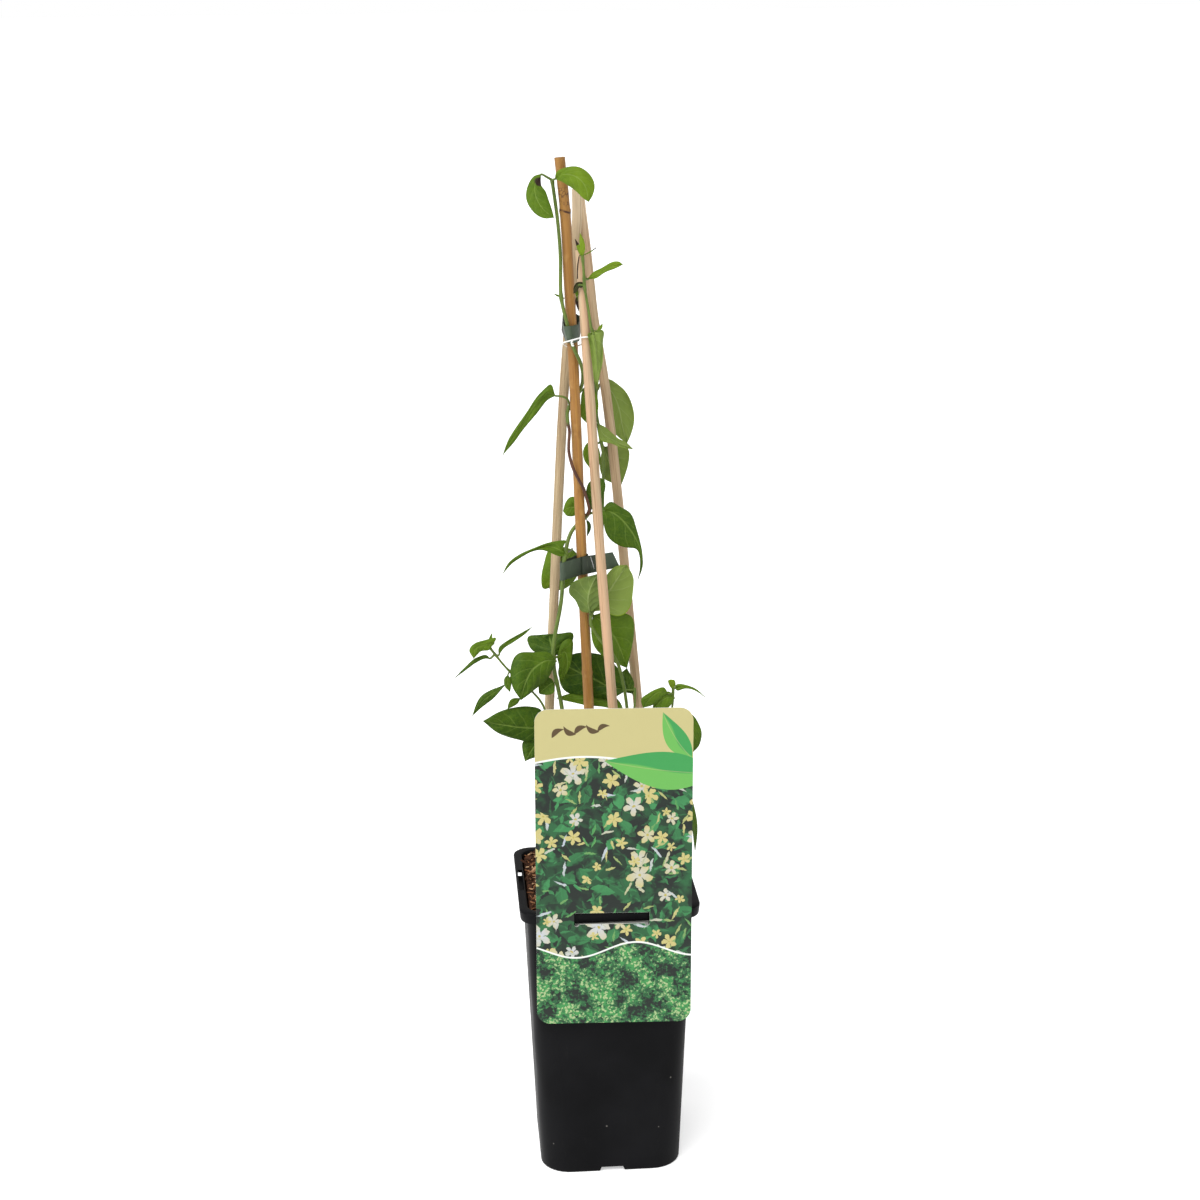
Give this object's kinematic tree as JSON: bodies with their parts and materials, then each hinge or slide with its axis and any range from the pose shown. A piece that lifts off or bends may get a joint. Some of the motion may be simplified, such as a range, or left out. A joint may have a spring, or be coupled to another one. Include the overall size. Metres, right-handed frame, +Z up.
{
  "type": "honeysuckle vine",
  "caption": "Twining honeysuckle shoots with paired leaves, tied to canes in a tapered square nursery pot of bark compost, with a tall card label hooked on the rim.",
  "frame": {"origin": "centre of the pot's base, on the surface it stands on", "axes": "+Z up along the canes, -Y towards the label's side of the pot, +X to the right of the label"},
  "size_m": [0.1786, 0.1345, 0.734],
  "materials": {
    "pot_plastic": "black moulded polypropylene, satin, with light scuffs",
    "bark_compost": "coarse bark and coir, matt",
    "bamboo": "golden brown bamboo skin, satin, with dark node rings",
    "pale_cane": "pale peeled wood, matt, with fine grain",
    "green_tape": "grey-green plastic tape, satin",
    "dark_tape": "dark green plastic tape, satin",
    "covered_wire": "white plastic-covered wire",
    "label_card": "printed card with a clear gloss coat",
    "vine_green": "living stems and leaves, slightly waxy",
    "vine_pale_green": "young stems and leaves, soft sheen",
    "vine_dark_green": "old leaves, dark and slightly waxy"
  },
  "bodies": {
    "root": {"pot": "pot_plastic", "soil": "bark_compost", "bamboo_cane": "bamboo", "cane_left": "pale_cane", "cane_front": "pale_cane", "cane_right": "pale_cane", "tie_upper": "green_tape", "tie_lower": "dark_tape", "tie_wire": "covered_wire", "label": "label_card", "shoot_main": "vine_green", "shoot_right": "vine_green", "shoot_left": "vine_pale_green", "shoot_side": "vine_pale_green", "shoot_back": "vine_dark_green"}
  },
  "joints": []
}
